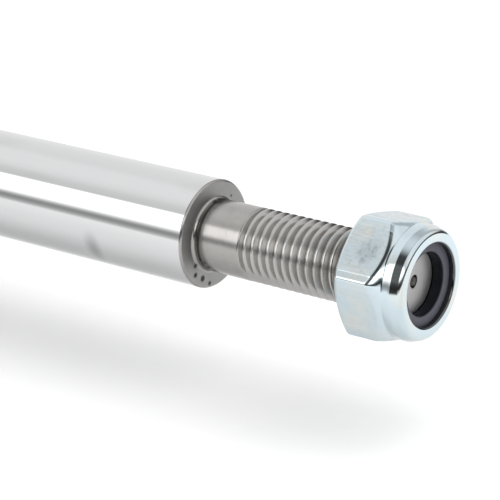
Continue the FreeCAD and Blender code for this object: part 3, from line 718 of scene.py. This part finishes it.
for face in rod_mesh.polygons:
    face.material_index = int(face.center.x > shoulder + CHROME_END * MM)
add_piece(rod_mesh, [chrome, steel], "rod", "hard_chrome", "piston_rod")

# %% [markdown]
# ## The lock nut
# It is forged from bar: six flats with well rounded corners, a cone that trims the corners, and a
# thin collar that is rolled over the nylon ring. All of that is one skin whose radius is the smaller
# of two rules: the hexagon's, which depends on the direction, and the turned profile's, which
# depends on the place along it. Where the two are close, the line on which they meet is rounded, as
# forging does. Past the hexagon's end the skin is round.

# %% The nut's profile
COLLAR, RIM_OUT, RIM_IN, RIM_TOP = 9.14, 0.988, 0.42, 11.45
HEXAGON_END = 8.6


def round_edge(centre, radius, start, finish, steps):
    """Points in mm on an arc of the profile. 0 degrees faces along the nut, 90 degrees outwards."""
    turns = [math.radians(start + (finish - start) * step / steps) for step in range(steps + 1)]
    return [(centre[0] + radius * math.cos(turn), centre[1] + radius * math.sin(turn)) for turn in turns]


outside = eased([
    (1.2, 6.02), (0.6, 6.02), (0.0, 6.6), (0.0, 9.5), (1.39, 12.0), (5.53, 12.0), (8.2, 9.13, 0.55),
    (HEXAGON_END, 9.1), (9.6, COLLAR, 0.3), (10.8, 8.72),
], 0.22, steps=5)
rim = round_edge((10.462, 7.79), RIM_OUT, 70, 4, 12) + round_edge((RIM_TOP - RIM_IN, 7.0), RIM_IN, 0, -90, 8)
inside = [(10.48, 6.58), (10.48, 7.88), (8.45, 7.88), (8.45, 6.02)]
nut_profile = outside + [(x * MM, r * MM) for x, r in rim + inside]
print("the nut's profile has", len(nut_profile), "points")

# %% The nut's hexagon
NUT_CORNER = 0.55
EDGE_BAND, EDGE_SLOPE = math.radians(8), 10.0 * math.tan(math.radians(3))
RIDGE_BAND, RIDGE = math.radians(0.6), 0.03
SOFTNESS, FADE = 1.1 * MM, 0.6 * MM
HALF_SIDE = math.radians(30)


def hexagon_radius(angle):
    """How far the drawn bar reaches: round corners, and a faint ridge and slope along each flat's edge."""
    off = abs((angle + HALF_SIDE) % (2 * HALF_SIDE) - HALF_SIDE)
    centre = (NUT_WIDTH / 2 - NUT_CORNER) / math.cos(HALF_SIDE)
    tangent = math.atan2(NUT_CORNER / 2, centre + NUT_CORNER * math.cos(HALF_SIDE))
    if off < tangent:
        reach = centre * math.cos(off) + math.sqrt(NUT_CORNER ** 2 - (centre * math.sin(off)) ** 2)
    else:
        reach = NUT_WIDTH / 2 / math.cos(HALF_SIDE - off)
    slope = max(0.0, EDGE_BAND - off) * EDGE_SLOPE
    ridge = RIDGE if abs(off - EDGE_BAND) < RIDGE_BAND else 0.0
    return (reach - slope + ridge) * MM


def forged_radius(x, profile, hexagon):
    """The smaller of the two radii, rounded where they are close. The rounding fades at the hexagon's end."""
    rounding = max(SOFTNESS - abs(profile - hexagon), 0.0) ** 2 / SOFTNESS / 4
    return min(profile, hexagon) - rounding * min((HEXAGON_END * MM - x) / FADE, 1.0)


print("corner and flat reach", [round(hexagon_radius(off) / MM, 2) for off in (0.0, HALF_SIDE)], "mm")

# %% The nut's mesh
FINE_STEP, FINE_RADIUS, FINE_END = 0.15 * MM, 8.9 * MM, 9 * MM
NUT_COLUMNS = 360
fine = []
for (x1, r1), (x2, r2) in zip(nut_profile, nut_profile[1:]):
    forged = r1 > FINE_RADIUS and x1 < FINE_END
    steps = max(1, math.ceil(math.hypot(x2 - x1, r2 - r1) / FINE_STEP)) if forged else 1
    fine += [(x1 + (x2 - x1) * s / steps, r1 + (r2 - r1) * s / steps) for s in range(steps)]

bm = bmesh.new()
rings = []
for x, r in fine:
    ring = []
    for i in range(NUT_COLUMNS):
        angle = math.radians(360 * i / NUT_COLUMNS)
        reach = forged_radius(x, r, hexagon_radius(angle)) if x < HEXAGON_END * MM else r
        y, z = reach * math.cos(angle + NUT_TURN), reach * math.sin(angle + NUT_TURN)
        ring.append(bm.verts.new((nut_start + x, y, z)))
    rings.append(ring)
for first, second in zip(rings, rings[1:] + rings[:1]):
    for i in range(NUT_COLUMNS):
        bm.faces.new([first[i], first[i - 1], second[i - 1], second[i]])
add_piece(closed_mesh(bm, "lock_nut_forged", 50.0), zinc, "nut", "zinc_plate", "lock_nut")

# %% [markdown]
# ## The nylon ring
# The ring that grips the thread sits in the collar. Its face bulges a little where the rim presses
# on it, and its hole has a soft edge. Its corners are given from the solid's own start.


# %% The nylon ring's mesh
def from_start(node, corners):
    """Corners that are given from a node's low end, at their place on the axis, in mm."""
    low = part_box(node)[0].x / MM
    return [(low + x, *rest) for x, *rest in corners]


ring = from_start("nylon_insert", [
    (0.02, 5.0, 0.1), (0.02, 7.84), (1.9, 7.84), (1.94, 6.9), (1.99, 6.3, 0.3), (1.98, 5.6, 0.3),
    (1.86, 5.04, 0.2), (1.4, 5.0),
])
add_piece(turned_ring("nylon_locking_ring", ring, 0.15, 144), nylon, "nut_carrier", "nylon", "nylon_insert")

# %% [markdown]
# ## Rubber
# Rubber comes from a mould, so it has no sharp edge. The eye's bush is bonded between the ring and
# the sleeve: it dips where the two pull at it, and folds over the ring at both sides. The wiper, the
# seal and the bumper are turned about the rod, with lips that touch it.

# %% The eye's bush
half = [
    (16.2, 9.06), (17.2, 9.06), (17.75, 9.9), (16.9, 11.4), (16.6, 13.0), (17.9, 15.2), (18.0, 16.4),
    (17.5, 17.7), (16.2, 17.98), (14.05, 17.98), (14.02, 15.98),
]
bush = half + [(-y, r) for y, r in reversed(half)]
bush_mesh = turned_ring("eye_rubber_bush", bush, 0.6, 120, "Y")
add_piece(bush_mesh, bush_rubber, "cylinder", "eye_rubber", "eye_rubber")

# %% The wiper, the seal and the bumper
wiper = from_start("dust_wiper", [
    (0.0, 9.6), (0.0, 13.95), (5.0, 13.95), (5.05, 12.7), (6.4, 11.9, 1.2), (9.0, 9.8), (9.0, 9.05),
    (8.4, 9.03), (5.0, 9.6),
])
seal = from_start("rod_seal", [
    (0.0, 9.6), (0.0, 10.85), (3.5, 10.85), (3.5, 13.25), (0.0, 13.25), (0.0, 14.97), (8.0, 14.97),
    (8.0, 9.6), (3.5, 9.6), (1.75, 9.05, 0.15),
])
pad = from_start("top_out_bumper", [
    (0.0, 9.04), (0.0, 12.3), (1.7, 14.0), (5.0, 14.0), (6.7, 12.3), (8.4, 14.0), (11.7, 14.0), (13.4, 12.3),
    (13.4, 9.04),
])
wiper_mesh = turned_ring("dust_wiper_lip", wiper, 0.25, 120)
add_piece(wiper_mesh, seal_rubber, "cylinder", "seal_rubber", "dust_wiper")
add_piece(turned_ring("rod_seal_lip", seal, 0.2), seal_rubber, "cylinder", "seal_rubber", "rod_seal")
add_piece(turned_ring("top_out_pad", pad, 1.0), foam, "rod", "bumper", "top_out_bumper")

# %% [markdown]
# ## Weld beads
# Two welds hold the outside together: the cap to the eye's ring, and the tube to the cap. The first
# runs round the cap's neck on a saddle, as the ring is itself a cylinder across it: the place along the
# axis follows from the ring's radius and the height. A hand weld is a row of puddles, each a little
# behind the last, so the bead's thickness ripples. One tree makes both: a circle, moved to the
# saddle, then swept with a round section.

# %% The bead's tree
bead_tree, nodes, given = new_tree("weld_bead", {
    "Radius": (FLOAT, 0.0), "Reach": (FLOAT, 0.0), "Saddle": (FLOAT, 0.0), "Bead Radius": (FLOAT, 0.0),
    "Ripples": (WHOLE, 0), "Ripple Depth": (FLOAT, 0.0), "Columns": (WHOLE, 0), "Finish": (FINISH, None),
})
sockets = {"Resolution": given.also("Columns"), "Radius": given.also("Radius")}
circle = nodes.add("GeometryNodeCurvePrimitiveCircle", {}, sockets)
spot = nodes.add("ShaderNodeSeparateXYZ", {}, {"Vector": nodes.add("GeometryNodeInputPosition")})
up = spot.also("Y")
along = (given.also("Reach") ** 2 - given.also("Saddle") * up * up).math("SQRT")
place = nodes.add("ShaderNodeCombineXYZ", {}, {"X": along, "Y": spot, "Z": up})
turn = up.math("ARCTAN2", spot) * given.also("Ripples")
ripple = (turn + 0.35 * turn.math("SINE")).math("COSINE").math("ABSOLUTE")
puddle = 1.0 - given.also("Ripple Depth") * ripple
uneven = nodes.add("ShaderNodeTexNoise", {}, {"Vector": place, "Scale": 160.0, "Detail": 1.0}, "Fac")
curve = nodes.add("GeometryNodeSetPosition", {}, {"Geometry": circle, "Position": place})
curve = nodes.add("GeometryNodeSetCurveRadius", {}, {"Curve": curve, "Radius": puddle * (0.9 + 0.2 * uneven)})
sockets = {"Resolution": 20, "Radius": given.also("Bead Radius")}
section = nodes.add("GeometryNodeCurvePrimitiveCircle", {}, sockets)
bead = nodes.add("GeometryNodeCurveToMesh", {}, {"Curve": curve, "Profile Curve": section})
end_tree(nodes, bead, given.also("Finish"))
print("bead tree has", len(bead_tree.nodes), "nodes")

# %% The two welds
for name, radius, reach, saddle, bead_radius, ripples in (
        ("eye_weld", 12.9, 20.2, 1.0, 1.7, 30), ("tube_weld", 24.5, 50.5, 0.0, 0.9, 60)):
    bead = grown(bead_tree, {
        "Radius": radius * MM, "Reach": reach * MM, "Saddle": saddle, "Bead Radius": bead_radius * MM,
        "Ripples": ripples, "Ripple Depth": 0.2, "Columns": 720, "Finish": coat})
    bm = bmesh.new()
    bm.from_mesh(bead)
    add_piece(closed_mesh(bm, name), coat, "cylinder", "black_coat")

# %% [markdown]
# ## The floor
# A pale table, on which the body lies. Camera rays see it glow a little, more so further away, so it
# runs out into the white of the room. Mirror rays see a painted shadow on it, slightly darker right
# under the rod, and see it end at the front, so that the dim horizon behind it shows in the rod under the
# bright stripe.

# %% Floor
BODY_RADIUS = 25.5
LEFT, RIGHT, FRONT, BEHIND = -3.0, 4.0, -4.0, 4.0
corners = (LEFT, FRONT), (RIGHT, FRONT), (RIGHT, BEHIND), (LEFT, BEHIND)
mesh = bpy.data.meshes.new("studio_floor")
mesh.from_pydata([(x, y, -BODY_RADIUS * MM) for x, y in corners], [], [(0, 1, 2, 3)])
floor = bpy.data.objects.new("studio_floor", mesh)
scene.collection.objects.link(floor)

paper, nodes, place = new_finish("studio_paper")
seen = nodes.add("ShaderNodeLightPath", take="Is Camera Ray")
mirrored = seen.also("Is Glossy Ray")
across = nodes.add("ShaderNodeSeparateXYZ", {}, {"Vector": place}).also("Y")
# A painted shadow right under the rod, seen only in mirrors.
painted_shadow_under_rod = mirrored * (1.0 - (across + 8 * MM).math("ABSOLUTE").past(0, 100))
colour = blend(nodes, noise(nodes, place, 300.0), (0.90, 0.90, 0.90), (0.92, 0.92, 0.92))
colour = blend(nodes, painted_shadow_under_rod, colour, (0.79, 0.79, 0.79))
matt = nodes.add("ShaderNodeBsdfDiffuse", {}, {"Color": colour})
glow = seen * (0.06 + 0.5 * distance(nodes, place, (300 * MM, 0.0, 0.0)).past(300, 1200))
glow = nodes.add("ShaderNodeEmission", {}, {"Color": (1, 1, 1, 1), "Strength": glow})
surface = nodes.add("ShaderNodeAddShader", {}, {0: matt, 1: glow})
clear = nodes.add("ShaderNodeBsdfTransparent")
ended = mirrored * (1.0 - across.past(-200, -140))
surface = nodes.add("ShaderNodeMixShader", {}, {0: ended, 1: surface, 2: clear})
nodes.add("ShaderNodeOutputMaterial", {}, {"Surface": surface})
mesh.materials.append(paper)
print("floor at", -BODY_RADIUS, "mm")

# %% [markdown]
# ## The room and the light
# A plain studio: one big soft light above, and a white room. The chrome shows the room as stripes
# along the rod, so the room is drawn for mirror rays only: white above and below, a brighter soft box
# in front of the object above the horizon, and a dim gap at the horizon, where a real studio has no
# wall. The side that the nut's end faces has the camera's dark opening and a dark wall in it, which
# draw the thin dark lines along the nut's edges and darken the thread's flanks.

# %% World
SOFT_BOX, AMBIENT, DARKENING = 1.9, 0.62, 0.93
world = bpy.data.worlds.new("studio_room")
scene.world = world
world.use_nodes = True
nodes = Nodes(world.node_tree)
way = nodes.add("ShaderNodeSeparateXYZ", {}, {"Vector": nodes.add("ShaderNodeTexCoord", take="Generated")})
to_the_back, upwards = way.also("Y"), way.also("Z")
height = upwards.math("ARCTAN2", to_the_back * -1.0) / (2 * math.pi) + 0.5
stripes = [
    (-180, 0.95), (-11, 0.94), (-6.5, 0.62), (-4, 0.46), (0.6, 0.33), (2.9, 0.36), (5.3, 0.48), (7.6, 0.7),
    (10, 1.04), (12.3, 1.35), (14, SOFT_BOX), (44, SOFT_BOX), (47, 0.73), (58, 0.79),
    (69, 0.92), (80, 0.98), (102, 0.98), (118, 0.9), (150, 0.92), (180, 0.95),
]
stops = [(angle / 360 + 0.5, light / SOFT_BOX) for angle, light in stripes]
room = nodes.add("ShaderNodeValToRGB", {"stops": stops}, {"Fac": height}) * SOFT_BOX
opening = (1.0 - (way - 0.05).math("ABSOLUTE").between(0.15, 0.3)) * (1.0 - upwards.between(0.88, 1.04))
opening = opening * (1.0 - 0.6 * to_the_back.between(-0.1, 0.4))
wall = way.between(-0.15, 0.05) * (1.0 - upwards.between(0.17, 0.36)) * upwards.between(-0.06, -0.01)
room = room * (1.0 - DARKENING * opening.math("MAXIMUM", wall))
seen = nodes.add("ShaderNodeLightPath", take="Is Camera Ray")
mirrored = seen.also("Is Glossy Ray")
strength = seen + (1.0 - seen) * (mirrored * room + (1.0 - mirrored) * AMBIENT)
sky = nodes.add("ShaderNodeBackground", {}, {"Color": (1, 1, 1, 1), "Strength": strength})
nodes.add("ShaderNodeOutputWorld", {}, {"Surface": sky})
print("room has", len(stripes), "stops")

# %% Lamp
LAMP_PLACE, LAMP_AIM = Vector((0.92, 0.12, 1.1)), Vector((0.58, 0.0, 0.0))
LAMP_SIZE, LAMP_WATTS = 1.6, 14.0
light = bpy.data.lights.new("overhead", "AREA")
light.shape = "SQUARE"
light.size = LAMP_SIZE
light.energy = LAMP_WATTS
lamp = bpy.data.objects.new("overhead", light)
scene.collection.objects.link(lamp)
lamp.location = LAMP_PLACE
lamp.rotation_mode = "QUATERNION"
lamp.rotation_quaternion = (LAMP_PLACE - LAMP_AIM).to_track_quat("Z", "Y")
lamp.visible_glossy = False
print("lamp is", round((LAMP_PLACE - LAMP_AIM).length, 2), "m away")
